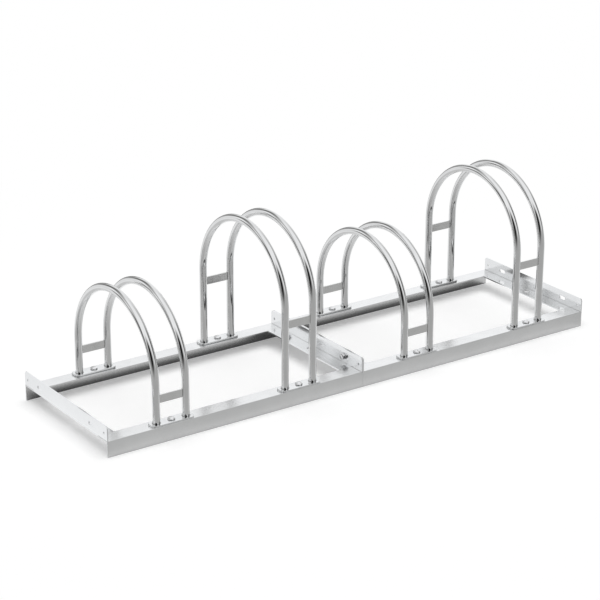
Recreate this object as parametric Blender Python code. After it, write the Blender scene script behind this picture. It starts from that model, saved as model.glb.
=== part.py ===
"""Bike parking stand: two floor frames of steel angle, bolted end to end, carry four pairs of tube hoops.

The origin is on the floor, midway between the ends and between the rails.
+X runs along the rails, -Y is the side that faces the person who parks, and +Z is up.
"""

import math

import bmesh
import bpy
from mathutils import Vector

# Overall sizes, in metres
slot_pitch = 0.350
frame_depth = 0.384
low_hoop_top = 0.317
high_hoop_top = 0.417

# Gap kept between pieces that touch
fit_gap = 0.0003

# Rails and cross angles, with legs of one thickness and a crisp outer heel
sheet = 0.003
heel_radius = 0.0008
inner_bend = 0.001
bend_steps = 4
rail_height = 0.040
rail_width = 0.040
angle_height = 0.038
angle_width = 0.040
angle_corner = 0.007
corner_steps = 4

# Holes in the cross angles
end_hole_radius = 0.003
end_hole_inset = 0.014
slot_travel = 0.013
slot_from_middle = 0.120
anchor_radius = 0.00625
anchor_inset = 0.021

# Hoops
tube_radius = 0.009
tube_wall = 0.002
tube_sides = 12
arch_steps = 14
leg_inset = 0.016
pair_spacing = 0.078
drain_radius = 0.003
drain_turn = math.radians(35)

# Flat pieces welded to each pair
bar_height = 0.020
bar_thickness = 0.004
bar_drop_share = 0.35  # of a low leg, measured down from where its arch starts
plate_overhang = 0.008
plate_width = 0.032
plate_thickness = 0.004
plate_corner = 0.012

# M8 fasteners
shank_radius = 0.004
shank_clearance = 0.0005
head_radius = 0.009
head_height = 0.0045
head_rim = 0.0006
dome_steps = 3
hex_across_flats = 0.013
hex_head_height = 0.0053
nut_height = 0.0065
washer_radius = 0.008
washer_thickness = 0.0016
thread_past_nut = 0.003
round_sides = 12
hole_sides = 16

# Sizes that follow
inner_corner = sheet + inner_bend
half_depth = frame_depth / 2
frame_length = 2 * slot_pitch
frame_centre = (frame_length + fit_gap) / 2
leg_y = half_depth - leg_inset
heel_height = rail_height - sheet
hole_height = heel_height + angle_height / 2
plate_length = pair_spacing + 2 * (tube_radius + plate_overhang)
plate_bottom = rail_height + fit_gap
plate_top = plate_bottom + plate_thickness
foot_height = plate_top + fit_gap
low_leg = low_hoop_top - tube_radius - leg_y - foot_height
bar_drop = bar_drop_share * low_leg
hole_radius = shank_radius + shank_clearance
slot_width = 2 * hole_radius
slot_length = slot_width + slot_travel
bore_radius = (shank_radius + fit_gap) / math.cos(math.pi / round_sides)
hex_radius = hex_across_flats / 2 / math.cos(math.pi / 6)
ends = {"left": -1, "right": 1}
sides = {"front": -1, "rear": 1}


def clear_scene():
    for obj in list(bpy.data.objects):
        bpy.data.objects.remove(obj, do_unlink=True)


def steel(name, colour, roughness):
    material = bpy.data.materials.new(name)
    material.use_nodes = True
    shader = material.node_tree.nodes["Principled BSDF"]
    shader.inputs["Base Color"].default_value = (*colour, 1.0)
    shader.inputs["Roughness"].default_value = roughness
    shader.inputs["Metallic"].default_value = 1.0
    return material


def group(name, location):
    """An empty that carries the pieces of one assembly."""
    empty = bpy.data.objects.new(name, None)
    empty.location = location
    bpy.context.scene.collection.objects.link(empty)
    return empty


def loft(name, rings, closed=False):
    """A mesh bridged between rings of equally many points, and capped unless it closes on itself."""
    bm = bmesh.new()
    loops = [[bm.verts.new(point) for point in ring] for ring in rings]
    following = loops[1:] + loops[:1] if closed else loops[1:]
    for lower, upper in zip(loops, following):
        for i in range(len(lower)):
            j = (i + 1) % len(lower)
            bm.faces.new((lower[i], lower[j], upper[j], upper[i]))
    if not closed:
        bm.faces.new(loops[0])
        bm.faces.new(loops[-1])
    bmesh.ops.recalc_face_normals(bm, faces=bm.faces)
    mesh = bpy.data.meshes.new(name)
    bm.to_mesh(mesh)
    bm.free()
    return mesh


def place(name, mesh, material, parent, location=(0, 0, 0), rotation=(0, 0, 0)):
    obj = bpy.data.objects.new(name, mesh)
    mesh.materials.append(material)
    obj.parent = parent
    obj.location = location
    obj.rotation_euler = rotation
    bpy.context.scene.collection.objects.link(obj)
    mesh.shade_smooth()
    mesh.set_sharp_from_angle(angle=math.radians(32))
    return obj


def cut(obj, mesh, location, rotation=(0, 0, 0)):
    """Cuts a mesh's shape out of an object, with the cutter placed in the object's own space."""
    cutter = bpy.data.objects.new(mesh.name, mesh)
    cutter.parent = obj
    cutter.location = location
    cutter.rotation_euler = rotation
    cutter.hide_render = True
    cutter.display_type = "WIRE"
    bpy.context.scene.collection.objects.link(cutter)
    modifier = obj.modifiers.new(mesh.name, "BOOLEAN")
    modifier.operation = "DIFFERENCE"
    modifier.solver = "EXACT"
    modifier.object = cutter


def arc(centre, radius, start, stop, steps):
    """Points of an arc in a plane, both ends included, with angles in degrees."""
    angles = [math.radians(start + (stop - start) * i / steps) for i in range(steps + 1)]
    return [(centre[0] + radius * math.cos(a), centre[1] + radius * math.sin(a)) for a in angles]


def circle(radius, count, turn=0.0):
    return arc((0, 0), radius, turn, turn + 360, count)[:-1]


def hexagon(radius):
    """A hexagon with as many points as a round ring, spaced along its sides, so that the two bridge."""
    corners = [Vector(corner) for corner in circle(radius, 6)]
    following = corners[1:] + corners[:1]
    share = 6 / round_sides
    steps = range(round_sides // 6)
    return [start.lerp(stop, share * i) for start, stop in zip(corners, following) for i in steps]


def rod(name, radius, length, count):
    """A round bar along Z, centred on its middle."""
    outline = circle(radius, count)
    return loft(name, [[(x, y, z) for x, y in outline] for z in (-length / 2, length / 2)])


def block(name, size):
    x, y, z = (value / 2 for value in size)
    return loft(name, [[(-x, -y, h), (x, -y, h), (x, y, h), (-x, y, h)] for h in (-z, z)])


def slotted(name, length, width, depth):
    """A round-ended bar along Z, whose section's long way is Y."""
    reach = (length - width) / 2
    half = hole_sides // 2
    outline = arc((0, reach), width / 2, 0, 180, half) + arc((0, -reach), width / 2, 180, 360, half)
    return loft(name, [[(x, y, z) for x, y in outline] for z in (-depth / 2, depth / 2)])


def angle_section(height, width):
    """Section of a steel angle: (inward, up) from its outer heel, with the leg up the first face."""
    outside = arc((heel_radius, heel_radius), heel_radius, 270, 180, bend_steps)
    inside = arc((inner_corner, inner_corner), inner_bend, 180, 270, bend_steps)
    return [(width, 0)] + outside + [(0, height), (sheet, height)] + inside + [(width, sheet)]


def rail_mesh():
    """A rail along X: its leg stands on the floor at the outer face and its flange points inward."""
    section = [(u, rail_height - v) for u, v in angle_section(rail_height, rail_width)]
    return loft("rail", [[(x, u, v) for u, v in section] for x in (-frame_length / 2, frame_length / 2)])


def angle_mesh():
    """A cross angle along Y, with its outer face at X = 0 and rounded upper corners."""
    section = angle_section(angle_height, angle_width)
    mesh = loft("angle", [[(u, y, v) for u, v in section] for y in (-half_depth, half_depth)])
    bm = bmesh.new()
    bm.from_mesh(mesh)
    corners = [
        edge
        for edge in bm.edges
        if all(vert.co.z > angle_height - fit_gap for vert in edge.verts)
        and abs(edge.verts[0].co.y - edge.verts[1].co.y) < fit_gap
    ]
    bmesh.ops.bevel(
        bm, geom=corners, offset=angle_corner, segments=corner_steps, profile=0.5, affect="EDGES"
    )
    bm.to_mesh(mesh)
    bm.free()
    return mesh


def add_rails(frame, name, slots):
    for side, sign in sides.items():
        rotation = (0, 0, 0) if sign < 0 else (0, 0, math.pi)
        outer_face = (0, sign * half_depth, 0)
        rail = place(f"{side}_rail_{name}", rail_mesh(), rail_steel, frame, outer_face, rotation)
        for slot in slots:
            hole = rod(f"{side}_rail_{name}_hole", hole_radius, 3 * sheet, hole_sides)
            cut(rail, hole, (-sign * slot, leg_inset, rail_height - sheet / 2))


def add_angle(frame, name, sign):
    """The angle across one end of a frame: its flange points to the middle and is notched for the rails."""
    rotation = (0, 0, 0) if sign < 0 else (0, 0, math.pi)
    heel = (sign * frame_length / 2, 0, heel_height)
    angle = place(name, angle_mesh(), angle_steel, frame, heel, rotation)
    notch_size = (3 * angle_width, 2 * (rail_width + fit_gap), 2 * (sheet + fit_gap))
    through = 3 * sheet
    across = (0, math.pi / 2, 0)
    hole_z = hole_height - heel_height
    for side in sides.values():
        cut(angle, block(f"{name}_notch", notch_size), (0, side * half_depth, 0))
        end_hole = rod(f"{name}_end_hole", end_hole_radius, through, round_sides)
        cut(angle, end_hole, (sheet / 2, side * (half_depth - end_hole_inset), hole_z), across)
        slot = slotted(f"{name}_slot", slot_length, slot_width, through)
        cut(angle, slot, (sheet / 2, side * slot_from_middle, hole_z), across)
    anchor = rod(f"{name}_anchor_hole", anchor_radius, through, hole_sides)
    cut(angle, anchor, (anchor_inset, 0, sheet / 2))


def spring_height(crest):
    """Where the straight legs end and the arch starts, for a hoop with its crest this high."""
    return crest - tube_radius - leg_y


def hoop_mesh(crest):
    """A tube bent to an inverted U in the YZ plane, with flats on its outer sides and open feet."""
    arch = arc((0, spring_height(crest)), leg_y, 180, 0, arch_steps)
    stations = [((-leg_y, foot_height), 180)]
    stations += [(point, 180 - 180 * i / arch_steps) for i, point in enumerate(arch)]
    stations += [((leg_y, foot_height), 0)]

    def ring(station, radius):
        (y, z), lean = station
        outward = Vector((0, math.cos(math.radians(lean)), math.sin(math.radians(lean))))
        corner_radius = radius / math.cos(math.pi / tube_sides)
        outline = circle(corner_radius, tube_sides, 180 / tube_sides)
        return [Vector((0, y, z)) + Vector((u, 0, 0)) + v * outward for u, v in outline]

    outer = [ring(station, tube_radius) for station in stations]
    inner = [ring(station, tube_radius - tube_wall) for station in reversed(stations)]
    return loft("hoop", outer + inner, closed=True)


def add_hoop(pair, name, crest, x):
    hoop = place(name, hoop_mesh(crest), hoop_steel, pair, (x, 0, 0))
    reach = 2 * tube_radius
    facing = Vector((-math.sin(drain_turn), -math.cos(drain_turn), 0))
    for side in sides.values():
        notch = rod(f"{name}_drain", drain_radius, reach, round_sides)
        middle = Vector((0, side * leg_y, foot_height)) + facing * reach / 2
        cut(hoop, notch, middle, (math.pi / 2, 0, -drain_turn))


def plate_mesh():
    """A foot plate with round corners, lying on its lower face."""
    x = plate_length / 2 - plate_corner
    y = plate_width / 2 - plate_corner
    outline = []
    for cx, cy, start in ((x, y, 0), (-x, y, 90), (-x, -y, 180), (x, -y, 270)):
        outline += arc((cx, cy), plate_corner, start, start + 90, corner_steps)
    return loft("foot_plate", [[(px, py, z) for px, py in outline] for z in (0, plate_thickness)])


def mushroom_bolt_mesh(grip):
    """A bolt with a low domed head, hanging from the head's seat at Z = 0."""
    dome_height = head_height - head_rim
    dome_radius = (head_radius**2 + dome_height**2) / (2 * dome_height)
    rings = [(shank_radius, -grip), (shank_radius, 0), (head_radius, 0), (head_radius, head_rim)]
    for step in range(1, dome_steps + 1):
        radius = head_radius * (1 - step / (dome_steps + 0.5))
        rings.append((radius, head_height - dome_radius + math.sqrt(dome_radius**2 - radius**2)))
    return loft("foot_bolt", [[(x, y, z) for x, y in circle(radius, round_sides)] for radius, z in rings])


def hex_bolt_mesh(grip):
    """A hexagon bolt, hanging from the head's seat at Z = 0."""
    shank = circle(shank_radius, round_sides)
    head = hexagon(hex_radius)
    rings = ((shank, -grip), (shank, 0), (head, 0), (head, hex_head_height))
    return loft("hex_bolt", [[(x, y, z) for x, y in outline] for outline, z in rings])


def collar_mesh(name, outline, thickness):
    """A nut or washer, standing on Z = 0, whose bore clears the shank."""
    bore = circle(bore_radius, round_sides)
    rings = ((outline, 0), (outline, thickness), (bore, thickness), (bore, 0))
    return loft(name, [[(x, y, z) for x, y in ring] for ring, z in rings], closed=True)


def add_foot(pair, name, sign):
    """The plate, its bolt and its nut, on the rail under one end of a pair of hoops."""
    y = sign * leg_y
    plate = place(f"foot_plate_{name}", plate_mesh(), plate_steel, pair, (0, y, plate_bottom))
    hole = rod(f"foot_plate_{name}_hole", hole_radius, 3 * plate_thickness, hole_sides)
    cut(plate, hole, (0, 0, plate_thickness / 2))
    nut_bottom = rail_height - sheet - fit_gap - nut_height
    grip = foot_height - nut_bottom + thread_past_nut
    place(f"foot_bolt_{name}", mushroom_bolt_mesh(grip), bolt_steel, pair, (0, y, foot_height))
    nut = collar_mesh("foot_nut", hexagon(hex_radius), nut_height)
    place(f"foot_nut_{name}", nut, nut_steel, pair, (0, y, nut_bottom))


def add_bar(pair, name, crest, sign):
    """The flat bar welded between the legs of a pair."""
    length = pair_spacing - 2 * (tube_radius + fit_gap)
    bar = block("spacer_bar", (length, bar_thickness, bar_height))
    middle = (0, sign * leg_y, spring_height(crest) - bar_drop)
    place(f"spacer_bar_{name}", bar, bar_steel, pair, middle)


def add_pair(number, x, crest):
    pair = group(f"hoop_pair_{number}", (x, 0, 0))
    for end, sign in ends.items():
        add_hoop(pair, f"hoop_{number}_{end}", crest, sign * pair_spacing / 2)
    for side, sign in sides.items():
        add_bar(pair, f"{number}_{side}", crest, sign)
        add_foot(pair, f"{number}_{side}", sign)


def add_joint(side, sign):
    """The bolt through the touching cross angles, with a washer under its head and under its nut."""
    joint = group(f"{side}_joint", (0, sign * slot_from_middle, hole_height))
    face = fit_gap / 2 + sheet + fit_gap
    seat = face + washer_thickness + fit_gap
    grip = 2 * seat + nut_height + thread_past_nut
    along = (0, -math.pi / 2, 0)
    place(f"joint_bolt_{side}", hex_bolt_mesh(grip), bolt_steel, joint, (-seat, 0, 0), along)
    nut = collar_mesh("joint_nut", hexagon(hex_radius), nut_height)
    place(f"joint_nut_{side}", nut, nut_steel, joint, (seat, 0, 0), (0, math.pi / 2, 0))
    for end, end_sign in ends.items():
        washer = collar_mesh("washer", circle(washer_radius, round_sides), washer_thickness)
        turn = (0, end_sign * math.pi / 2, 0)
        place(f"joint_washer_{side}_{end}", washer, washer_steel, joint, (end_sign * face, 0, 0), turn)


def add_frame(number, name, sign):
    frame = group(f"{name}_frame", (sign * frame_centre, 0, 0))
    slots = (-slot_pitch / 2, slot_pitch / 2)
    add_rails(frame, name, slots)
    for end in ends.values():
        kind = "end" if end == sign else "joint"
        add_angle(frame, f"{kind}_angle_{name}", end)
    for i, (slot, crest) in enumerate(zip(slots, (low_hoop_top, high_hoop_top))):
        add_pair(number + i, sign * frame_centre + slot, crest)


clear_scene()
rail_steel = steel("rail_steel", (0.72, 0.72, 0.70), 0.30)
angle_steel = steel("angle_steel", (0.82, 0.83, 0.84), 0.25)
hoop_steel = steel("hoop_steel", (0.70, 0.70, 0.69), 0.18)
bar_steel = steel("bar_steel", (0.66, 0.66, 0.64), 0.32)
plate_steel = steel("plate_steel", (0.80, 0.81, 0.83), 0.25)
bolt_steel = steel("bolt_steel", (0.72, 0.72, 0.74), 0.22)
nut_steel = steel("nut_steel", (0.62, 0.62, 0.64), 0.30)
washer_steel = steel("washer_steel", (0.70, 0.70, 0.72), 0.28)
add_frame(1, "left", -1)
add_frame(3, "right", 1)
for joint_side, joint_sign in sides.items():
    add_joint(joint_side, joint_sign)
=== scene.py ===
import math

import bmesh
import bpy
from mathutils import Matrix, Quaternion, Vector


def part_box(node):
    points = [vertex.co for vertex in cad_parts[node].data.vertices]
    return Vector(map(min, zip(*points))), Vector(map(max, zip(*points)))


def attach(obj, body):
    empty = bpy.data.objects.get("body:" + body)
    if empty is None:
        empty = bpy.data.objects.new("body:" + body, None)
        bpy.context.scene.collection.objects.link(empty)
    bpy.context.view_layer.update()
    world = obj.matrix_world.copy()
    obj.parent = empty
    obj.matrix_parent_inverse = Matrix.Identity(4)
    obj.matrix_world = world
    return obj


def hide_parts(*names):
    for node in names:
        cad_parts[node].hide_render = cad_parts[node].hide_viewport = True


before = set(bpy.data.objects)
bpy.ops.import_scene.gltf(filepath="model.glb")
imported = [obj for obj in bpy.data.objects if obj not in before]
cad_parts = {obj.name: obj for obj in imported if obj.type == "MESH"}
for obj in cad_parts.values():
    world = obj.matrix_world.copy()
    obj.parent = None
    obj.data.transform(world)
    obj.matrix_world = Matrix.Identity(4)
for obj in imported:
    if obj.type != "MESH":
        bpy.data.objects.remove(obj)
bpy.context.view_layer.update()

ends = {"left": -1, "right": 1}
sides = {"front": -1, "rear": 1}
pairNumbers = (1, 2, 3, 4)
scene = bpy.context.scene
touching = 1e-6  # points this near are one point
cutThrough = 3  # cutters are this many times as long as the wall that they go through


# Node tools: a value that is a socket is linked, and any other value is set

def addNode(tree, kind, values=None, **settings):
    node = tree.nodes.new(kind)
    for key, value in settings.items():
        setattr(node, key, value)
    for key, value in (values or {}).items():
        if isinstance(value, bpy.types.NodeSocket):
            tree.links.new(value, node.inputs[key])
        else:
            node.inputs[key].default_value = value
    return node


def newGroup(name, inputs, outputs):
    group = bpy.data.node_groups.new(name, "ShaderNodeTree")
    for label, kind, value in inputs:
        socket = group.interface.new_socket(name=label, in_out="INPUT", socket_type=kind)
        if value is not None:
            socket.default_value = value
    for label in outputs:
        group.interface.new_socket(name=label, in_out="OUTPUT", socket_type="NodeSocketFloat")
    return group, addNode(group, "NodeGroupInput").outputs, addNode(group, "NodeGroupOutput").inputs


def placeGroup(tree, group, values):
    return addNode(tree, "ShaderNodeGroup", values, node_tree=group).outputs


# Effects that several finishes share

cloudForm = {
    "noise": {"Detail": 3.0, "Roughness": 0.55},
    "range": {"From Min": 0.32, "From Max": 0.68},
}

lineForm = {"noise": {"Scale": 1.0, "Detail": 2.0, "Roughness": 0.6}}

markForm = {
    "turns": (0.6, -0.9),
    "slant": 0.4,
    "stretch": (0.05, 1.0, 1.0),
    "noise": {"Detail": 5.0, "Roughness": 0.7},
    "range": {"From Min": 0.68, "From Max": 0.74},
}


def makeZincCloud():  # soft patches, as a zinc bath leaves them
    group, given, put = newGroup(
        "zincCloud",
        [("Vector", "NodeSocketVector", None), ("Scale", "NodeSocketFloat", 20.0)],
        ["Cloud"],
    )
    noise = addNode(
        group,
        "ShaderNodeTexNoise",
        {"Vector": given["Vector"], "Scale": given["Scale"], **cloudForm["noise"]},
    )
    spread = addNode(
        group,
        "ShaderNodeMapRange",
        {"Value": noise.outputs["Fac"], **cloudForm["range"]},
        interpolation_type="SMOOTHSTEP",
    )
    group.links.new(spread.outputs["Result"], put["Cloud"])
    return group


def makeDrawnLines():  # fine lines along the way that the steel was rolled, drawn or turned
    group, given, put = newGroup(
        "drawnLines",
        [("Vector", "NodeSocketVector", None), ("Stretch", "NodeSocketVector", (1.0, 1.0, 1.0))],
        ["Lines"],
    )
    stretched = addNode(
        group,
        "ShaderNodeVectorMath",
        {0: given["Vector"], 1: given["Stretch"]},
        operation="MULTIPLY",
    )
    noise = addNode(
        group,
        "ShaderNodeTexNoise",
        {"Vector": stretched.outputs[0], **lineForm["noise"]},
    )
    group.links.new(noise.outputs["Fac"], put["Lines"])
    return group


def makeHandlingMarks():  # a few thin scratches from stacking and moving, in two slants
    group, given, put = newGroup(
        "handlingMarks",
        [("Vector", "NodeSocketVector", None), ("Scale", "NodeSocketFloat", 60.0)],
        ["Marks"],
    )
    form = markForm
    masks = []
    for turn in form["turns"]:
        rotation = (turn, form["slant"], turn)
        turned = addNode(
            group,
            "ShaderNodeMapping",
            {"Vector": given["Vector"], "Rotation": rotation, "Scale": form["stretch"]},
        )
        noise = addNode(
            group,
            "ShaderNodeTexNoise",
            {"Vector": turned.outputs[0], "Scale": given["Scale"], **form["noise"]},
        )
        thin = addNode(
            group,
            "ShaderNodeMapRange",
            {"Value": noise.outputs["Fac"], **form["range"]},
            interpolation_type="SMOOTHSTEP",
        )
        masks.append(thin.outputs["Result"])
    both = addNode(group, "ShaderNodeMath", {0: masks[0], 1: masks[1]}, operation="MAXIMUM")
    group.links.new(both.outputs[0], put["Marks"])
    return group


def makeCutEdges():  # picks the faces that shears or a saw left, by how they face an axis
    group, given, put = newGroup(
        "cutEdges",
        [
            ("Facing", "NodeSocketVector", None),
            ("Axis", "NodeSocketVector", (0.0, 0.0, 1.0)),
            ("None at", "NodeSocketFloat", 0.6),
            ("Full at", "NodeSocketFloat", 0.9),
        ],
        ["Cut"],
    )
    along = addNode(
        group,
        "ShaderNodeVectorMath",
        {0: given["Facing"], 1: given["Axis"]},
        operation="DOT_PRODUCT",
    )
    size = addNode(group, "ShaderNodeMath", {0: along.outputs["Value"]}, operation="ABSOLUTE")
    spread = addNode(
        group,
        "ShaderNodeMapRange",
        {"Value": size.outputs[0], "From Min": given["None at"], "From Max": given["Full at"]},
    )
    group.links.new(spread.outputs["Result"], put["Cut"])
    return group


zincCloud = makeZincCloud()
drawnLines = makeDrawnLines()
handlingMarks = makeHandlingMarks()
cutEdges = makeCutEdges()


def steelMaterial(name, finish, vector=None):
    # Zinc-plated steel: a cloud in colour and gloss, marks in gloss, and lines in relief
    material = bpy.data.materials.new(name)
    material.use_nodes = True
    tree = material.node_tree
    shader = tree.nodes["Principled BSDF"]
    if vector is None:
        vector = addNode(tree, "ShaderNodeTexCoord").outputs["Object"]
    else:
        vector = addNode(tree, "ShaderNodeAttribute", attribute_name=vector).outputs["Vector"]
    given = {"Vector": vector, "Scale": finish["cloudScale"]}
    cloud = placeGroup(tree, zincCloud, given)["Cloud"]
    given = {"Vector": vector, "Stretch": finish["stretch"]}
    lines = placeGroup(tree, drawnLines, given)["Lines"]
    given = {"Vector": vector, "Scale": finish["markScale"]}
    marks = placeGroup(tree, handlingMarks, given)["Marks"]
    tone = addNode(
        tree,
        "ShaderNodeMix",
        {"Factor": cloud, "A": (*finish["dull"], 1.0), "B": (*finish["bright"], 1.0)},
        data_type="RGBA",
    )
    low, high = finish["roughness"]
    gloss = addNode(tree, "ShaderNodeMapRange", {"Value": cloud, "To Min": high, "To Max": low})
    rough = addNode(
        tree,
        "ShaderNodeMath",
        {0: marks, 1: finish["markRoughness"], 2: gloss.outputs["Result"]},
        operation="MULTIPLY_ADD",
    )
    if "cutAxis" in finish:
        facing = addNode(tree, "ShaderNodeNewGeometry").outputs["Normal"]
        noneAt, fullAt = finish["cutRange"]
        given = {"Facing": facing, "Axis": finish["cutAxis"], "None at": noneAt, "Full at": fullAt}
        cut = placeGroup(tree, cutEdges, given)["Cut"]
        values = {0: cut, 1: finish["cutRoughness"], 2: rough.outputs[0]}
        rough = addNode(tree, "ShaderNodeMath", values, operation="MULTIPLY_ADD")
    bump = addNode(
        tree,
        "ShaderNodeBump",
        {"Height": lines, "Strength": finish["relief"], "Distance": finish["lineDepth"]},
    )
    tree.links.new(tone.outputs["Result"], shader.inputs["Base Color"])
    tree.links.new(rough.outputs[0], shader.inputs["Roughness"])
    tree.links.new(bump.outputs["Normal"], shader.inputs["Normal"])
    shader.inputs["Metallic"].default_value = 1.0
    return material


# Mesh tools

def meshFrom(work, name):
    bmesh.ops.recalc_face_normals(work, faces=work.faces)
    mesh = bpy.data.meshes.new(name)
    work.to_mesh(mesh)
    work.free()
    return mesh


def loft(name, rings, closed=False):  # bridges rings of equally many points, and caps an open run
    work = bmesh.new()
    loops = [[work.verts.new(point) for point in ring] for ring in rings]
    following = loops[1:] + loops[:1] if closed else loops[1:]
    for lower, upper in zip(loops, following):
        for i in range(len(lower)):
            j = (i + 1) % len(lower)
            work.faces.new((lower[i], lower[j], upper[j], upper[i]))
    if not closed:
        work.faces.new(loops[0])
        work.faces.new(loops[-1])
    return meshFrom(work, name)


def turned(name, profile, steps, closed=False):  # turns (radius, height) points about the Z axis
    work = bmesh.new()
    points = [work.verts.new((radius, 0, height)) for radius, height in profile]
    following = points[1:] + points[:1] if closed else points[1:]
    edges = [work.edges.new(pair) for pair in zip(points, following)]
    bmesh.ops.spin(
        work,
        geom=points + edges,
        cent=(0, 0, 0),
        axis=(0, 0, 1),
        angle=math.tau,
        steps=steps,
        use_merge=True,
    )
    bmesh.ops.remove_doubles(work, verts=work.verts, dist=touching)
    return meshFrom(work, name)


def arc(centre, radius, start, stop, steps):
    angles = [math.radians(start + (stop - start) * i / steps) for i in range(steps + 1)]
    return [(centre[0] + radius * math.cos(a), centre[1] + radius * math.sin(a)) for a in angles]


def filleted(corners, radius, steps, closed=True):  # an outline whose corners are rounded off
    outline = []
    points = [Vector(corner) for corner in corners]
    for i, corner in enumerate(points):
        if not closed and i in (0, len(points) - 1):
            outline.append(corner)
            continue
        back = (points[i - 1] - corner).normalized()
        on = (points[(i + 1) % len(points)] - corner).normalized()
        half = back.angle(on) / 2
        centre = corner + (back + on).normalized() * radius / math.sin(half)
        start = corner + back * radius / math.tan(half) - centre
        stop = corner + on * radius / math.tan(half) - centre
        first = math.degrees(math.atan2(start.y, start.x))
        sweep = (math.degrees(math.atan2(stop.y, stop.x)) - first + 180) % 360 - 180
        outline += arc(centre, radius, first, first + sweep, steps)
    return outline


def rod(radius, length, steps):  # a round cutter along Z, centred on its middle
    outline = arc((0, 0), radius, 0, 360, steps)[:-1]
    return loft("rod", [[(x, y, z) for x, y in outline] for z in (-length / 2, length / 2)])


def placedTool(mesh, location, rotation=(0, 0, 0)):
    tool = bpy.data.objects.new("tool", mesh)
    tool.location = location
    tool.rotation_euler = rotation
    scene.collection.objects.link(tool)
    return tool


def shaped(mesh, tools, operation="DIFFERENCE"):  # cuts with the tools, or keeps what lies in them
    work = placedTool(mesh, (0, 0, 0))
    for tool in tools:
        modifier = work.modifiers.new("shape", "BOOLEAN")
        modifier.object = tool
        modifier.operation = operation
        modifier.solver = "EXACT"
    bpy.context.view_layer.update()
    graph = bpy.context.evaluated_depsgraph_get()
    result = bpy.data.meshes.new_from_object(work.evaluated_get(graph))
    for used in [work, *tools]:
        bpy.data.objects.remove(used, do_unlink=True)
    return result


def joined(name, meshes):  # separate closed shells of one piece
    work = bmesh.new()
    for mesh in meshes:
        work.from_mesh(mesh)
    return meshFrom(work, name)


def addPiece(name, mesh, material, nodes=(), location=(0, 0, 0), rotation=(0, 0, 0)):
    piece = bpy.data.objects.new(name, mesh)
    scene.collection.objects.link(piece)
    piece.location = location
    piece.rotation_euler = rotation
    mesh.materials.clear()
    mesh.materials.append(material)
    mesh.shade_smooth()
    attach(piece, "root")
    if nodes:
        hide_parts(*nodes)
    return piece


edgeShading = {"sharpFrom": 35, "sawnFrom": 40, "flatWeight": 100}


def roundEdges(piece, width, steps=3):  # breaks the sharp edges, so that they catch light
    modifier = piece.modifiers.new("edges", "BEVEL")
    modifier.width = width
    modifier.segments = steps
    modifier.limit_method = "ANGLE"
    modifier.angle_limit = math.radians(edgeShading["sharpFrom"])
    modifier.harden_normals = True


def keepFlats(piece):  # broad flat faces shade flat, and only the bends between them shade round
    modifier = piece.modifiers.new("flats", "WEIGHTED_NORMAL")
    modifier.mode = "FACE_AREA"
    modifier.weight = edgeShading["flatWeight"]
    modifier.keep_sharp = True


# Rails and cross angles, of steel angle with a crisp outer heel

steelAngle = {
    "thickness": 0.003,
    "heel": 0.0008,
    "innerBend": 0.001,
    "bendSteps": 10,
    "toe": 0.0004,
    "toeSteps": 3,
    "edgeRound": 0.0002,
    "holeSteps": 40,
}

railFinish = {
    "bright": (0.86, 0.862, 0.865),
    "dull": (0.835, 0.837, 0.84),
    "roughness": (0.20, 0.23),
    "cloudScale": 22.0,
    "stretch": (9.0, 1100.0, 1100.0),
    "lineDepth": 0.0001,
    "markScale": 70.0,
    "markRoughness": 0.015,
    "relief": 0.01,
    "cutAxis": (1.0, 0.0, 0.0),
    "cutRange": (0.6, 0.9),
    "cutRoughness": 0.25,
}

angleFinish = {
    "bright": (0.845, 0.85, 0.855),
    "dull": (0.836, 0.841, 0.846),
    "roughness": (0.155, 0.165),
    "cloudScale": 26.0,
    "stretch": (1100.0, 9.0, 1100.0),
    "lineDepth": 0.00008,
    "markScale": 70.0,
    "markRoughness": 0.006,
    "relief": 0.01,
    "cutAxis": (0.0, 1.0, 0.0),
    "cutRange": (0.6, 0.9),
    "cutRoughness": 0.25,
}

footHole = 0.0045  # the radius through a foot plate and the rail below it


def angleSection(height, width, toe=0.0):  # an L as (inward, along the leg) from its outer heel
    form = steelAngle
    thick, heel = form["thickness"], form["heel"]
    corner = thick + form["innerBend"]
    outside = arc((heel, heel), heel, 270, 180, form["bendSteps"])
    inside = arc((corner, corner), form["innerBend"], 180, 270, form["bendSteps"])
    if not toe:
        return [(width, 0)] + outside + [(0, height), (thick, height)] + inside + [(width, thick)]
    steps = form["toeSteps"]
    outline = arc((width - toe, toe), toe, 360, 270, steps) + outside
    outline += arc((toe, height - toe), toe, 180, 90, steps)
    outline += arc((thick - toe, height - toe), toe, 90, 0, steps) + inside
    return outline + arc((width - toe, thick - toe), toe, 90, 0, steps)


def railMesh(name, sign):  # the leg stands on the floor, and the flange points inward
    low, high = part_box(name)
    size = high - low
    outer = low.y if sign < 0 else high.y
    outline = angleSection(size.z, size.y, steelAngle["toe"])
    section = [(outer - sign * u, high.z - v) for u, v in outline]
    return loft(name, [[(x, y, z) for y, z in section] for x in (low.x, high.x)])


def addRails():
    material = steelMaterial("rail_steel", railFinish)
    sheet = steelAngle["thickness"]
    steps = steelAngle["holeSteps"]
    for side, sign in sides.items():
        plates = [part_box(f"foot_plate_{number}_{side}") for number in pairNumbers]
        for end in ends:
            name = f"{side}_rail_{end}"
            low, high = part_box(name)
            tools = []
            for middle in [(a + b) / 2 for a, b in plates if low.x < a.x < high.x]:
                place = (middle.x, middle.y, high.z - sheet / 2)
                tools.append(placedTool(rod(footHole, cutThrough * sheet, steps), place))
            mesh = shaped(railMesh(name, sign), tools)
            piece = addPiece(f"{name}_angle", mesh, material, [name])
            mesh.set_sharp_from_angle(angle=math.radians(edgeShading["sawnFrom"]))
            keepFlats(piece)
    print("rails cut and drilled")


addRails()

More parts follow.
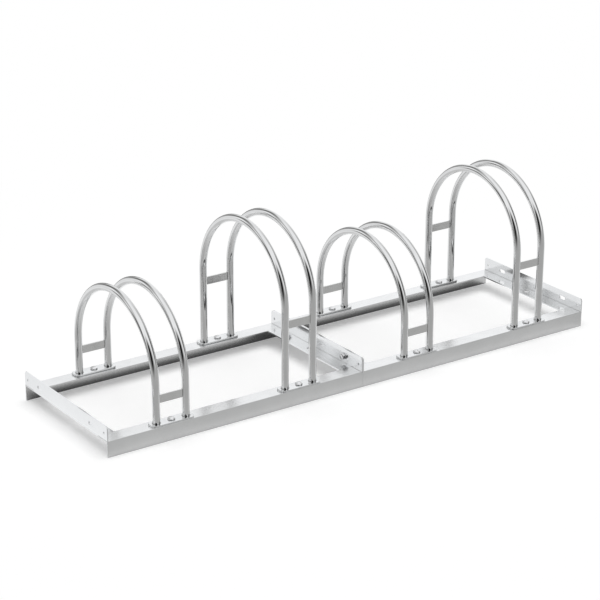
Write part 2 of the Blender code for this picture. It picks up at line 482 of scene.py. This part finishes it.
angleCut = {
    "corner": 0.007,
    "cornerSteps": 8,
    "endHole": 0.003,
    "endHoleInset": 0.014,
    "slotPlace": 0.120,
    "slotLength": 0.022,
    "slotWidth": 0.009,
    "anchorHole": 0.00625,
    "anchorInset": 0.021,
    "notchGap": 0.0003,
}


def slotTool(length, width, depth, steps):  # a round-ended cutter along X, longest along Y
    reach = (length - width) / 2
    outline = arc((reach, 0), width / 2, -90, 90, steps)
    outline += arc((-reach, 0), width / 2, 90, 270, steps)
    return loft("slot", [[(x, y, z) for y, z in outline] for x in (-depth / 2, depth / 2)])


def angleMesh(name, facing):  # its flange points to the middle of the frame
    low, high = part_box(name)
    size = high - low
    outer = low.x if facing > 0 else high.x
    section = [(outer + facing * u, low.z + v) for u, v in angleSection(size.z, size.x)]
    mesh = loft(name, [[(x, y, z) for x, z in section] for y in (low.y, high.y)])
    work = bmesh.new()
    work.from_mesh(mesh)
    top = high.z - steelAngle["thickness"] / 2
    corners = [
        edge
        for edge in work.edges
        if all(vert.co.z > top for vert in edge.verts)
        and abs(edge.verts[0].co.y - edge.verts[1].co.y) < size.y / 2
    ]
    bmesh.ops.bevel(
        work,
        geom=corners,
        offset=angleCut["corner"],
        segments=angleCut["cornerSteps"],
        profile=0.5,
        affect="EDGES",
    )
    return meshFrom(work, name)


def angleTools(name, facing):
    low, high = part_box(name)
    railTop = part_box("front_rail_left")[1].z
    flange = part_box("front_rail_left")[1].y + angleCut["notchGap"]
    sheet = steelAngle["thickness"]
    depth = cutThrough * sheet
    steps = steelAngle["holeSteps"]
    outer = low.x if facing > 0 else high.x
    legMiddle = outer + facing * sheet / 2
    holeHeight = (low.z + high.z) / 2
    across = (0, math.pi / 2, 0)
    tools = []
    for side in sides.values():
        notchEnds = [side * -flange, side * (high.y + sheet)]
        corners = [(low.x - sheet, min(notchEnds)), (high.x + sheet, min(notchEnds))]
        corners += [(high.x + sheet, max(notchEnds)), (low.x - sheet, max(notchEnds))]
        heights = (low.z - sheet, railTop + angleCut["notchGap"])
        notch = loft("notch", [[(x, y, z) for x, y in corners] for z in heights])
        tools.append(placedTool(notch, (0, 0, 0)))
        endHole = (legMiddle, side * (high.y - angleCut["endHoleInset"]), holeHeight)
        tools.append(placedTool(rod(angleCut["endHole"], depth, steps), endHole, across))
        slot = slotTool(angleCut["slotLength"], angleCut["slotWidth"], depth, steps // 2)
        tools.append(placedTool(slot, (legMiddle, side * angleCut["slotPlace"], holeHeight)))
    anchor = (outer + facing * angleCut["anchorInset"], 0, low.z + sheet / 2)
    tools.append(placedTool(rod(angleCut["anchorHole"], depth, steps), anchor))
    return tools


def addAngles():
    material = steelMaterial("angle_steel", angleFinish)
    facings = {
        "end_angle_left": 1,
        "joint_angle_left": -1,
        "joint_angle_right": 1,
        "end_angle_right": -1,
    }
    for name, facing in facings.items():
        mesh = shaped(angleMesh(name, facing), angleTools(name, facing))
        piece = addPiece(f"{name}_angle", mesh, material, [name])
        roundEdges(piece, steelAngle["edgeRound"])
        keepFlats(piece)
    print("cross angles notched and punched")


addAngles()

# Hoops, bent from tube

hoopTube = {
    "wall": 0.002,
    "sides": 40,
    "archSteps": 72,
    "edgeRound": 0.0003,
    "edgeSteps": 2,
    "drainRadius": 0.003,
    "drainTurn": 35,
    "drainSteps": 32,
    "drainReach": 0.009,
}

hoopFinish = {
    "bright": (0.80, 0.80, 0.80),
    "dull": (0.76, 0.76, 0.76),
    "roughness": (0.035, 0.055),
    "cloudScale": 30.0,
    "stretch": (1300.0, 1300.0, 14.0),
    "lineDepth": 0.0001,
    "markScale": 90.0,
    "markRoughness": 0.02,
    "relief": 0.015,
}


def hoopSizes(name):
    low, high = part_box(name)
    radius = (high.x - low.x) / 2
    legPlace = high.y - radius
    return {
        "middle": (low.x + high.x) / 2,
        "radius": radius,
        "legPlace": legPlace,
        "foot": low.z,
        "spring": high.z - radius - legPlace,
    }


def hoopMesh(name):
    sizes = hoopSizes(name)
    reach = sizes["legPlace"]
    steps = hoopTube["archSteps"]
    arch = [
        ((y, z), 180 - 180 * i / steps)
        for i, (y, z) in enumerate(arc((0, sizes["spring"]), reach, 180, 0, steps))
    ]
    low = sizes["foot"]
    above = low + hoopTube["drainReach"]  # a ring above the drains keeps them from shading the legs
    stations = [((-reach, low), 180), ((-reach, above), 180)] + arch
    stations += [((reach, above), 0), ((reach, low), 0)]

    def ring(station, radius):
        (y, z), lean = station
        outward = Vector((0, math.cos(math.radians(lean)), math.sin(math.radians(lean))))
        outline = arc((0, 0), radius, 0, 360, hoopTube["sides"])[:-1]
        return [Vector((sizes["middle"] + u, y, z)) + v * outward for u, v in outline]

    outer = [ring(station, sizes["radius"]) for station in stations]
    inner = [ring(station, sizes["radius"] - hoopTube["wall"]) for station in reversed(stations)]
    return loft(name, outer + inner, closed=True)


def markStraight(mesh, sizes):  # notes each point's place on the tube as it was before bending
    attribute = mesh.attributes.new("straightTube", "FLOAT_VECTOR", "POINT")
    quarter = sizes["legPlace"] * math.pi / 2
    leg = sizes["spring"] - sizes["foot"]
    for vert in mesh.vertices:
        x, y, z = vert.co
        if z < sizes["spring"]:
            side = math.copysign(1, y)
            along = side * (quarter + sizes["spring"] - z)
            out = side * y - sizes["legPlace"]
        else:
            angle = math.atan2(y, z - sizes["spring"])
            along = angle * sizes["legPlace"]
            out = math.hypot(y, z - sizes["spring"]) - sizes["legPlace"]
        attribute.data[vert.index].vector = (x, out, along + quarter + leg)


def addHoops():
    material = steelMaterial("hoop_steel", hoopFinish, "straightTube")
    turn = math.radians(hoopTube["drainTurn"])
    facing = Vector((-math.sin(turn), -math.cos(turn), 0))
    for number in pairNumbers:
        for end in ends:
            name = f"hoop_{number}_{end}"
            sizes = hoopSizes(name)
            reach = 2 * sizes["radius"]
            tools = []
            for side in sides.values():
                foot = Vector((sizes["middle"], side * sizes["legPlace"], sizes["foot"]))
                drain = rod(hoopTube["drainRadius"], reach, hoopTube["drainSteps"])
                place = foot + facing * reach / 2
                tools.append(placedTool(drain, place, (math.pi / 2, 0, -turn)))
            mesh = shaped(hoopMesh(name), tools)
            markStraight(mesh, sizes)
            piece = addPiece(f"{name}_tube", mesh, material, [name])
            roundEdges(piece, hoopTube["edgeRound"], hoopTube["edgeSteps"])
    print("hoops bent and drained")


addHoops()

# Flat bars between the legs, and the plates under them

flatBar = {"edgeRound": 0.0006}

barFinish = {
    "bright": (0.79, 0.79, 0.785),
    "dull": (0.75, 0.75, 0.745),
    "roughness": (0.18, 0.24),
    "cloudScale": 34.0,
    "stretch": (14.0, 1200.0, 1200.0),
    "lineDepth": 0.0001,
    "markScale": 80.0,
    "markRoughness": 0.03,
    "relief": 0.03,
}


def addBars():
    material = steelMaterial("bar_steel", barFinish)
    for number in pairNumbers:
        for side in sides:
            name = f"spacer_bar_{number}_{side}"
            low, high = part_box(name)
            corners = [(low.y, low.z), (high.y, low.z), (high.y, high.z), (low.y, high.z)]
            mesh = loft(name, [[(x, y, z) for y, z in corners] for x in (low.x, high.x)])
            piece = addPiece(f"{name}_flat", mesh, material, [name])
            roundEdges(piece, flatBar["edgeRound"])
    print("spacer bars cut")


addBars()

footPlate = {
    "corner": 0.012,
    "cornerSteps": 12,
    "holeSteps": 40,
    "edgeRound": {"front": 0.0003, "rear": 0.0012},
}

plateFinish = {
    "bright": (0.82, 0.825, 0.83),
    "dull": (0.78, 0.785, 0.79),
    "roughness": (0.16, 0.20),
    "cloudScale": 40.0,
    "stretch": (14.0, 1200.0, 1200.0),
    "lineDepth": 0.00008,
    "markScale": 80.0,
    "markRoughness": 0.02,
    "relief": 0.03,
    "cutAxis": (0.0, 0.0, 1.0),
    "cutRange": (0.6, 0.2),
    "cutRoughness": 0.06,
}


def addPlates():
    material = steelMaterial("plate_steel", plateFinish)
    for number in pairNumbers:
        for side in sides:
            name = f"foot_plate_{number}_{side}"
            low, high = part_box(name)
            middle = (low + high) / 2
            corners = [(low.x, low.y), (high.x, low.y), (high.x, high.y), (low.x, high.y)]
            outline = filleted(corners, footPlate["corner"], footPlate["cornerSteps"])
            mesh = loft(name, [[(x, y, z) for x, y in outline] for z in (low.z, high.z)])
            hole = rod(footHole, cutThrough * (high.z - low.z), footPlate["holeSteps"])
            mesh = shaped(mesh, [placedTool(hole, middle)])
            piece = addPiece(f"{name}_flat", mesh, material, [name])
            roundEdges(piece, footPlate["edgeRound"][side])
    print("foot plates cut")


addPlates()

# Weld beads at both sides of each foot, behind the bars and under the cross angles

weldForm = {
    "radius": 0.0013,
    "sides": 10,
    "step": 0.00045,
    "ripple": 0.0018,
    "rippleDepth": 0.16,
    "taper": 0.002,
    "endShare": 0.3,
    "upright": 0.9,
    "footArc": 90,
    "footSteps": 30,
}

weldFinish = {
    "bright": (0.60, 0.60, 0.60),
    "dull": (0.42, 0.42, 0.42),
    "roughness": (0.24, 0.36),
    "cloudScale": 300.0,
    "stretch": (600.0, 600.0, 600.0),
    "lineDepth": 0.0001,
    "markScale": 160.0,
    "markRoughness": 0.05,
    "relief": 0.1,
}


def straightPath(start, stop):
    start, stop = Vector(start), Vector(stop)
    steps = round((stop - start).length / weldForm["step"])
    return [start.lerp(stop, i / steps) for i in range(steps + 1)]


def weldBead(path):  # a rippled bead along a line of points, thinner at both ends
    form = weldForm
    upward = Vector((0, 0, 1))
    along = [0.0]
    for before, after in zip(path, path[1:]):
        along.append(along[-1] + (after - before).length)
    rings = []
    for i, point in enumerate(path):
        ahead = (path[min(i + 1, len(path) - 1)] - path[max(i - 1, 0)]).normalized()
        upright = abs(ahead.z) > form["upright"]
        side = Vector((1, 0, 0)) if upright else ahead.cross(upward).normalized()
        over = side.cross(ahead)
        toEnd = min(along[i], along[-1] - along[i]) / form["taper"]
        swell = form["endShare"] + (1 - form["endShare"]) * math.sqrt(min(1.0, toEnd))
        lump = abs(math.sin(math.pi * along[i] / form["ripple"]))
        size = form["radius"] * swell * (1 - form["rippleDepth"] * (1 - lump))
        outline = arc((0, 0), size, 0, 360, form["sides"])[:-1]
        rings.append([point + u * side + v * over for u, v in outline])
    return loft("bead", rings)


def footArc(name, side, facing):  # along the foot of a tube, on the side that the plate runs to
    sizes = hoopSizes(name)
    middle = (sizes["middle"], side * sizes["legPlace"])
    half = weldForm["footArc"] / 2
    outline = arc(middle, sizes["radius"], facing - half, facing + half, weldForm["footSteps"])
    return [Vector((x, y, sizes["foot"])) for x, y in outline]


def addWelds():
    material = steelMaterial("weld_steel", weldFinish)
    for number in pairNumbers:
        for side, sign in sides.items():
            beads = [
                weldBead(footArc(f"hoop_{number}_{end}", sign, facing))
                for end in ends
                for facing in (0, 180)
            ]
            low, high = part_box(f"spacer_bar_{number}_{side}")
            for x in (low.x, high.x):
                beads.append(weldBead(straightPath((x, high.y, low.z), (x, high.y, high.z))))
            addPiece(f"welds_{number}_{side}", joined("welds", beads), material)
    for kind in ("end", "joint"):
        for end in ends:
            name = f"{kind}_angle_{end}"
            low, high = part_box(name)
            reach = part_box("rear_rail_left")[0].y
            beads = [
                weldBead(straightPath((low.x, sign * reach, low.z), (high.x, sign * reach, low.z)))
                for sign in sides.values()
            ]
            addPiece(f"welds_{name}", joined("welds", beads), material)
    print("weld beads laid")


addWelds()

# Bolts, nuts and washers, each made once at its own origin and then placed

threadForm = {
    "radius": 0.004,
    "pitch": 0.00125,
    "depth": 0.00065,
    "rowsPerTurn": 10,
    "sides": 40,
    "length": 0.0085,
    "point": 0.0007,
}

domeHead = {"crown": 0.0009, "edge": 0.0030, "steps": 12, "underside": 0.0002, "sides": 64}

hexForm = {
    "acrossFlats": 0.013,
    "headHeight": 0.0053,
    "chamferSlope": 30,
    "chamferFrom": 0.97,
    "chamferTo": 1.1,
    "bevel": 0.00015,
    "bevelSteps": 2,
    "bore": 0.0041,
    "countersink": 0.0005,
    "sides": 60,
}

boltFinish = {
    "bright": (0.86, 0.86, 0.865),
    "dull": (0.80, 0.80, 0.81),
    "roughness": (0.05, 0.09),
    "cloudScale": 120.0,
    "stretch": (500.0, 500.0, 500.0),
    "lineDepth": 0.00008,
    "markScale": 160.0,
    "markRoughness": 0.06,
    "relief": 0.04,
}

nutFinish = dict(
    boltFinish,
    bright=(0.72, 0.72, 0.73),
    dull=(0.66, 0.66, 0.67),
    roughness=(0.22, 0.32),
)

washerFinish = dict(
    boltFinish,
    bright=(0.77, 0.77, 0.78),
    dull=(0.72, 0.72, 0.73),
    roughness=(0.20, 0.30),
)

washerForm = {"bore": 0.0042, "radius": 0.008, "edgeRound": 0.0003, "edgeSteps": 4}


def shankRings(low):  # a plain shank from Z = 0, then the thread down to its point
    form = threadForm
    radius = form["radius"]
    sideCount = form["sides"]
    turns = [math.tau * i / sideCount for i in range(sideCount)]
    rows = round(form["length"] / form["pitch"] * form["rowsPerTurn"])
    rings = []
    for row in range(rows + 1):
        height = low + form["length"] * row / rows
        taper = max(0.0, form["point"] - (height - low))
        ring = []
        for i, turn in enumerate(turns):
            phase = (height / form["pitch"] - i / sideCount) % 1
            runOut = min(1.0, (low + form["length"] - height) / form["pitch"])
            cut = form["depth"] * abs(2 * phase - 1) * runOut
            size = min(radius - cut, radius - taper)
            ring.append((size * math.cos(turn), size * math.sin(turn), height))
        rings.append(ring)
    rings.append([(radius * math.cos(turn), radius * math.sin(turn), 0.0) for turn in turns])
    return rings


def domeBolt(headRadius, headHeight, low):
    form = domeHead
    steps = form["steps"]
    edge = min(form["edge"], headHeight - form["crown"] - form["underside"])
    flat = headRadius - edge
    ball = (flat**2 + form["crown"]**2) / (2 * form["crown"])
    slope = math.degrees(math.asin(flat / ball))
    profile = arc((0, headHeight - ball), ball, 90, 90 - slope, steps)
    edgeCentre = (flat, headHeight - form["crown"] - edge)
    profile += arc(edgeCentre, edge, 90 - slope, 0, steps)[1:]
    profile += [(headRadius, form["underside"]), (headRadius - form["underside"], 0.0), (0.0, 0.0)]
    head = turned("head", profile, form["sides"])
    return joined("dome_bolt", [head, loft("shank", shankRings(low))])


def hexPrism(height):
    corner = hexForm["acrossFlats"] / 2 / math.cos(math.pi / 6)
    outline = arc((0, 0), corner, 0, 360, 6)[:-1]
    return loft("hex", [[(x, y, z) for x, y in outline] for z in (0.0, height)])


def chamferTool(height, both):
    flat = hexForm["acrossFlats"] / 2
    face = hexForm["chamferFrom"] * flat
    wide = flat / math.cos(math.pi / 6) * hexForm["chamferTo"]
    drop = (wide - face) * math.tan(math.radians(hexForm["chamferSlope"]))
    profile = [(0.0, height), (face, height), (wide, height - drop)]
    profile += [(wide, drop), (face, 0.0)] if both else [(wide, 0.0)]
    return placedTool(turned("chamfer", profile + [(0.0, 0.0)], hexForm["sides"]), (0, 0, 0))


def hexBolt(low):
    height = hexForm["headHeight"]
    head = shaped(hexPrism(height), [chamferTool(height, False)], "INTERSECT")
    return joined("hex_bolt", [head, loft("shank", shankRings(low))])


def hexNut(height):
    form = hexForm
    body = shaped(hexPrism(height), [chamferTool(height, True)], "INTERSECT")
    bore = form["bore"]
    sink = form["countersink"]
    over = bore + sink
    profile = [(0.0, -sink), (over + sink, -sink), (bore, sink), (bore, height - sink)]
    profile += [(over + sink, height + sink), (0.0, height + sink)]
    return shaped(body, [placedTool(turned("bore", profile, form["sides"]), (0, 0, 0))])


def washerMesh(thickness):
    form = washerForm
    inner, outer = form["bore"], form["radius"]
    corners = [(inner, 0.0), (outer, 0.0), (outer, thickness), (inner, thickness)]
    outline = filleted(corners, form["edgeRound"], form["edgeSteps"])
    return turned("washer", outline, hexForm["sides"], closed=True)


def addFootFasteners(number, side, boltSteel, nutSteel):
    name = f"foot_bolt_{number}_{side}"
    low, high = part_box(name)
    middle = (low + high) / 2
    seat = Vector((middle.x, middle.y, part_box(f"hoop_{number}_left")[0].z))
    mesh = domeBolt((high.x - low.x) / 2, high.z - seat.z, low.z - seat.z)
    addPiece(f"{name}_domed", mesh, boltSteel, [name], seat)
    name = f"foot_nut_{number}_{side}"
    low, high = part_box(name)
    place = (seat.x, seat.y, low.z)
    nut = addPiece(f"{name}_hex", hexNut(high.z - low.z), nutSteel, [name], place)
    roundEdges(nut, hexForm["bevel"], hexForm["bevelSteps"])


def addJointFasteners(side, boltSteel, nutSteel, washerSteel):  # they lie along X
    quarter = math.pi / 2
    name = f"joint_bolt_{side}"
    low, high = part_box(name)
    middle = (low + high) / 2
    seat = (low.x + hexForm["headHeight"], middle.y, middle.z)
    mesh = hexBolt(seat[0] - high.x)
    bolt = addPiece(f"{name}_hex", mesh, boltSteel, [name], seat, (0, -quarter, 0))
    roundEdges(bolt, hexForm["bevel"], hexForm["bevelSteps"])
    name = f"joint_nut_{side}"
    low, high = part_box(name)
    mesh = hexNut(high.x - low.x)
    place = (low.x, middle.y, middle.z)
    nut = addPiece(f"{name}_hex", mesh, nutSteel, [name], place, (0, quarter, 0))
    roundEdges(nut, hexForm["bevel"], hexForm["bevelSteps"])
    for end in ends:
        name = f"joint_washer_{side}_{end}"
        low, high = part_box(name)
        mesh = washerMesh(high.x - low.x)
        place = (low.x, middle.y, middle.z)
        turn = (0, quarter, 0)
        addPiece(f"{name}_turned", mesh, washerSteel, [name], place, turn)


def addFasteners():
    boltSteel = steelMaterial("bolt_steel", boltFinish)
    nutSteel = steelMaterial("nut_steel", nutFinish)
    washerSteel = steelMaterial("washer_steel", washerFinish)
    for number in pairNumbers:
        for side in sides:
            addFootFasteners(number, side, boltSteel, nutSteel)
    for side in sides:
        addJointFasteners(side, boltSteel, nutSteel, washerSteel)
    print("bolts, nuts and washers placed")


addFasteners()

# Studio: a pale floor, an open room for reflections and a camera at the photograph's angle

cameraPlace = {
    "location": (-2.6807, -3.7540, 1.9293),
    "azimuth": -35.029,
    "elevation": 20.964,
    "roll": 0.263,
    "lens": 121.65,
    "sensor": 36.0,
}


def addCamera():
    camera = bpy.data.cameras.new("camera")
    camera.lens = cameraPlace["lens"]
    camera.sensor_width = cameraPlace["sensor"]
    holder = bpy.data.objects.new("camera", camera)
    scene.collection.objects.link(holder)
    turn = math.radians(cameraPlace["azimuth"])
    rise = math.radians(cameraPlace["elevation"])
    level = math.cos(rise)
    ahead = Vector((-math.sin(turn) * level, math.cos(turn) * level, -math.sin(rise)))
    holder.location = cameraPlace["location"]
    aim = ahead.to_track_quat("-Z", "Y")
    roll = Quaternion((0, 0, 1), math.radians(cameraPlace["roll"]))
    holder.rotation_euler = (aim @ roll).to_euler()
    scene.camera = holder


room = {
    "near": 0.45,
    "far": 0.95,
    "farAzimuth": 10,
    "farSpread": (-0.02, 1.0),
    "warm": (1.0, 1.0, 0.985),
    "cool": (0.99, 1.0, 1.01),
    "fill": 0.25,
}

# Soft patches of light and shade around the stand: bearings and sizes in degrees. They were first
# fitted to how bright the tubes are in the photograph, then rounded and changed.
roomPatches = [
    dict(azimuth=-101, elevation=28, width=43, height=23, tilt=-1, level=1.23, soft=0.33),
    dict(azimuth=-153, elevation=68, width=59, height=43, tilt=24, level=1.01, soft=0.32),
    dict(azimuth=-134, elevation=15, width=34, height=20, tilt=-21, level=0.01, soft=0.50),
    dict(azimuth=-35, elevation=47, width=46, height=11, tilt=9, level=0.47, soft=0.46),
    dict(azimuth=-4, elevation=31, width=14, height=28, tilt=10, level=0.18, soft=0.60),
    dict(azimuth=22, elevation=-10, width=15, height=24, tilt=1, level=0.01, soft=0.42),
    dict(azimuth=-75, elevation=9, width=14, height=13, tilt=-4, level=0.12, soft=0.50),
    dict(azimuth=-44, elevation=8, width=8, height=13, tilt=0, level=0.25, soft=0.50),
    dict(azimuth=-53, elevation=-13, width=9, height=14, tilt=20, level=0.02, soft=0.50),
    dict(azimuth=125, elevation=24, width=15, height=22, tilt=-1, level=0.06, soft=0.65),
    dict(azimuth=159, elevation=17, width=12, height=11, tilt=0, level=0.88, soft=0.60),
    dict(azimuth=66, elevation=-36, width=39, height=35, tilt=43, level=0.98, soft=0.90),
    dict(azimuth=-63, elevation=-75, width=54, height=24, tilt=45, level=0.65, soft=0.66),
    dict(azimuth=-96, elevation=-5, width=14, height=5, tilt=0, level=0.19, soft=0.50),
    dict(azimuth=-32, elevation=-21, width=20, height=8, tilt=0, level=0.94, soft=0.40),
    dict(azimuth=152, elevation=-21, width=22, height=16, tilt=0, level=0.46, soft=0.60),
    dict(azimuth=40, elevation=21, width=16, height=9, tilt=0, level=1.04, soft=0.50),
    dict(azimuth=-35, elevation=22, width=10, height=7, tilt=0, level=1.10, soft=0.40),
]


def makeRoomPatch():  # an ellipse about a bearing, from 1 within to 0 outside
    group, given, put = newGroup(
        "roomPatch",
        [
            ("Direction", "NodeSocketVector", None),
            ("Turn", "NodeSocketVector", None),
            ("Reach", "NodeSocketVector", None),
            ("Inner", "NodeSocketFloat", 0.5),
            ("Outer", "NodeSocketFloat", 1.5),
        ],
        ["Mask"],
    )
    local = addNode(
        group,
        "ShaderNodeMapping",
        {"Vector": given["Direction"], "Rotation": given["Turn"]},
        vector_type="TEXTURE",
    )
    axes = addNode(group, "ShaderNodeSeparateXYZ", {"Vector": local.outputs[0]}).outputs
    across = addNode(group, "ShaderNodeMath", {0: axes["X"], 1: axes["Y"]}, operation="ARCTAN2")
    upward = addNode(group, "ShaderNodeMath", {0: axes["Z"]}, operation="ARCSINE")
    angles = {"X": across.outputs[0], "Y": upward.outputs[0]}
    bearing = addNode(group, "ShaderNodeCombineXYZ", angles)
    sized = addNode(
        group,
        "ShaderNodeVectorMath",
        {0: bearing.outputs[0], 1: given["Reach"]},
        operation="DIVIDE",
    )
    away = addNode(group, "ShaderNodeVectorMath", {0: sized.outputs[0]}, operation="LENGTH")
    mask = addNode(
        group,
        "ShaderNodeMapRange",
        {"Value": away.outputs["Value"], "From Min": given["Outer"], "From Max": given["Inner"]},
        interpolation_type="SMOOTHSTEP",
    )
    group.links.new(mask.outputs["Result"], put["Mask"])
    return group


def addRoomLevel(tree, direction):  # how bright the room is in each direction
    axes = addNode(tree, "ShaderNodeSeparateXYZ", {"Vector": direction}).outputs
    across = addNode(tree, "ShaderNodeMath", {0: axes["X"], 1: axes["Y"]}, operation="ARCTAN2")
    fromFar = {0: across.outputs[0], 1: math.radians(room["farAzimuth"])}
    turnedBy = addNode(tree, "ShaderNodeMath", fromFar, operation="SUBTRACT")
    facing = addNode(tree, "ShaderNodeMath", {0: turnedBy.outputs[0]}, operation="COSINE")
    low, high = room["farSpread"]
    level = addNode(
        tree,
        "ShaderNodeMapRange",
        {
            "Value": facing.outputs[0],
            "From Min": low,
            "From Max": high,
            "To Min": room["near"],
            "To Max": room["far"],
        },
        interpolation_type="SMOOTHSTEP",
    ).outputs["Result"]
    patchShape = makeRoomPatch()
    for patch in roomPatches:
        turn = Matrix.Rotation(math.radians(-patch["azimuth"]), 3, "Z")
        turn @= Matrix.Rotation(math.radians(patch["elevation"]), 3, "X")
        turn @= Matrix.Rotation(math.radians(-patch["tilt"]), 3, "Y")
        values = {
            "Direction": direction,
            "Turn": tuple(turn.to_euler()),
            "Reach": (math.radians(patch["width"]), math.radians(patch["height"]), 1.0),
            "Inner": 1 - patch["soft"],
            "Outer": 1 + patch["soft"],
        }
        mask = placeGroup(tree, patchShape, values)["Mask"]
        mixed = {"Factor": mask, "A": level, "B": patch["level"]}
        level = addNode(tree, "ShaderNodeMix", mixed).outputs["Result"]
    return level


def addMirroredMask(tree, path):  # 1 for the rays that the steel mirrors, from a Light Path node
    kinds = {0: path["Is Glossy Ray"], 1: path["Is Transmission Ray"]}
    return addNode(tree, "ShaderNodeMath", kinds, operation="MAXIMUM").outputs[0]


def addWorld():
    world = bpy.data.worlds.new("studio")
    world.use_nodes = True
    world.cycles.sampling_method = "NONE"
    scene.world = world
    tree = world.node_tree
    direction = addNode(tree, "ShaderNodeTexCoord").outputs["Generated"]
    level = addRoomLevel(tree, direction)
    tint = addNode(
        tree,
        "ShaderNodeMix",
        {"Factor": level, "A": (*room["warm"], 1.0), "B": (*room["cool"], 1.0)},
        data_type="RGBA",
    )
    colour = addNode(
        tree,
        "ShaderNodeVectorMath",
        {0: tint.outputs["Result"], "Scale": level},
        operation="SCALE",
    ).outputs[0]
    path = addNode(tree, "ShaderNodeLightPath").outputs
    lit = addNode(
        tree,
        "ShaderNodeMix",
        {"Factor": addMirroredMask(tree, path), "A": (*[room["fill"]] * 3, 1.0), "B": colour},
        data_type="RGBA",
    ).outputs["Result"]
    seen = addNode(
        tree,
        "ShaderNodeMix",
        {"Factor": path["Is Camera Ray"], "A": lit, "B": (1.0, 1.0, 1.0, 1.0)},
        data_type="RGBA",
    ).outputs["Result"]
    tree.links.new(seen, tree.nodes["Background"].inputs["Color"])


overhead = {"level": 1.75, "spread": 62, "height": 3.0}


def addOverhead():  # a broad lamp straight above lights the floor, and the steel doesn't mirror it
    lamp = bpy.data.lights.new("overhead", "SUN")
    lamp.energy = overhead["level"]
    lamp.angle = math.radians(overhead["spread"])
    holder = bpy.data.objects.new("overhead", lamp)
    holder.location.z = overhead["height"]
    holder.visible_glossy = False
    scene.collection.objects.link(holder)


floorForm = {
    "radius": 14.0,
    "steps": 96,
    "tone": 0.955,
    "glow": 0.235,
    "whiteFrom": 0.5,
    "whiteTo": 1.7,
    "shadeReach": 0.20,
    "shadeSamples": 12,
}

# In the steel's mirror image of the floor, from fully covered places to open ones: how much of the
# room shows through, and a painted glow beside the rails, standing in for light the steel throws
# there
floorOpenness = [(0.0, 0.04), (0.15, 0.095), (0.28, 0.19), (0.42, 0.52), (0.55, 1.0), (1.0, 1.0)]
paintedFloorGlow = [(0.0, 0.0), (0.4, 0.015), (0.6, 0.16), (0.95, 0.0), (1.0, 0.0)]


def addFloorShader(tree):  # what the camera sees: pale, with the stand's shade, fading to white
    matt = addNode(tree, "ShaderNodeBsdfDiffuse", {"Color": (*[floorForm["tone"]] * 3, 1.0)})
    glow = addNode(tree, "ShaderNodeEmission", {"Strength": floorForm["glow"]})
    pale = addNode(tree, "ShaderNodeAddShader", {0: matt.outputs[0], 1: glow.outputs[0]})
    white = addNode(tree, "ShaderNodeEmission", {"Color": (1.0, 1.0, 1.0, 1.0)})
    place = addNode(tree, "ShaderNodeTexCoord").outputs["Object"]
    away = addNode(tree, "ShaderNodeVectorMath", {0: place}, operation="LENGTH").outputs["Value"]
    fade = addNode(
        tree,
        "ShaderNodeMapRange",
        {"Value": away, "From Min": floorForm["whiteFrom"], "From Max": floorForm["whiteTo"]},
        interpolation_type="SMOOTHSTEP",
    )
    mixed = {0: fade.outputs["Result"], 1: pale.outputs[0], 2: white.outputs[0]}
    return addNode(tree, "ShaderNodeMixShader", mixed).outputs[0]


def greyRamp(tree, value, stops):
    ramp = addNode(tree, "ShaderNodeValToRGB", {"Fac": value})
    marks = ramp.color_ramp.elements
    for place, _ in stops[1:-1]:
        marks.new(place)
    for mark, (place, tone) in zip(marks, stops):
        mark.position = place
        mark.color = (tone, tone, tone, 1.0)
    return ramp.outputs["Color"]


def addFloorMirrored(tree):  # what the steel mirrors: the room below, dim under the stand
    shade = addNode(
        tree,
        "ShaderNodeAmbientOcclusion",
        {"Distance": floorForm["shadeReach"]},
        samples=floorForm["shadeSamples"],
    ).outputs["AO"]
    clear = {"Color": greyRamp(tree, shade, floorOpenness)}
    through = addNode(tree, "ShaderNodeBsdfTransparent", clear)
    # painted glow where the floor is partly covered, standing in for light that the steel throws
    # onto it
    glow = addNode(tree, "ShaderNodeEmission", {"Color": greyRamp(tree, shade, paintedFloorGlow)})
    both = {0: through.outputs[0], 1: glow.outputs[0]}
    return addNode(tree, "ShaderNodeAddShader", both).outputs[0]


def makeFloorMaterial():
    material = bpy.data.materials.new("floor")
    material.use_nodes = True
    tree = material.node_tree
    tree.nodes.remove(tree.nodes["Principled BSDF"])
    path = addNode(tree, "ShaderNodeLightPath").outputs
    mirrored = addMirroredMask(tree, path)
    both = {0: mirrored, 1: addFloorShader(tree), 2: addFloorMirrored(tree)}
    surface = addNode(tree, "ShaderNodeMixShader", both).outputs[0]
    tree.links.new(surface, tree.nodes["Material Output"].inputs["Surface"])
    return material


def addFloor():
    form = floorForm
    work = bmesh.new()
    bmesh.ops.create_circle(work, cap_ends=True, radius=form["radius"], segments=form["steps"])
    floor = bpy.data.objects.new("floor", meshFrom(work, "floor"))
    scene.collection.objects.link(floor)
    floor.data.materials.append(makeFloorMaterial())


addCamera()
addWorld()
addOverhead()
addFloor()
scene.view_settings.view_transform = "Standard"
print("studio set")
